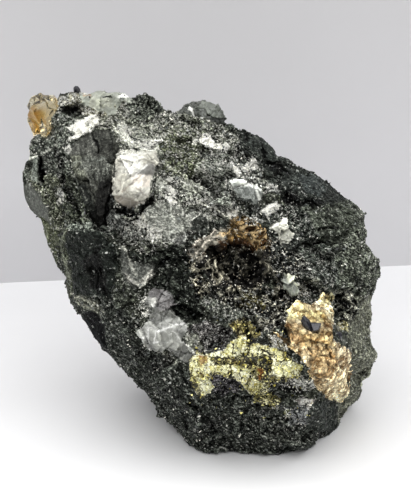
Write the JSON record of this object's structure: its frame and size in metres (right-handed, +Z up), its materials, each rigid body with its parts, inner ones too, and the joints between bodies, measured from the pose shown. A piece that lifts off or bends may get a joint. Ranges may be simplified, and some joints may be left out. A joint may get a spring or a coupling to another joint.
{
  "type": "cassiterite specimen",
  "caption": "Hand specimen of dark ore rock with cassiterite crystals, quartz lumps, honey crystals, chalcopyrite, an iron-stained crust and a crystal-lined vug, resting on a flat end.",
  "frame": {"origin": "on the surface that the specimen stands on, under the middle of its bounding box", "axes": "+Z up; -Y towards the viewer, the way the broad mineral-bearing face looks; +X to the right of that face, along the specimen's width"},
  "size_m": [0.075, 0.0556, 0.0708],
  "materials": {
    "chlorite_rock": "rough, granular, with small glints",
    "cassiterite": "adamantine on crystal faces, dull on broken ones",
    "white_quartz": "waxy, broken",
    "smoky_quartz": "glassy, fractured",
    "honey_crystal": "glassy, clear",
    "chalcopyrite": "metallic, hackly",
    "iron_crust": "earthy, granular",
    "vug_crust": "dark, with small glassy points"
  },
  "bodies": {
    "root": {"rock_matrix": "chlorite_rock", "cassiterite_slab": "cassiterite", "cassiterite_twin": "cassiterite", "cassiterite_grain": "cassiterite", "cassiterite_tip": "cassiterite", "white_quartz": "white_quartz", "quartz_knob": "smoky_quartz", "top_quartz": "white_quartz", "quartz_crystal_upper": "smoky_quartz", "quartz_crystal_middle": "smoky_quartz", "quartz_crystal_lower": "smoky_quartz", "smoky_quartz": "smoky_quartz", "honey_crystals": "honey_crystal", "chalcopyrite": "chalcopyrite", "iron_stained_crust": "iron_crust", "vug_crust": "vug_crust"}
  },
  "joints": []
}
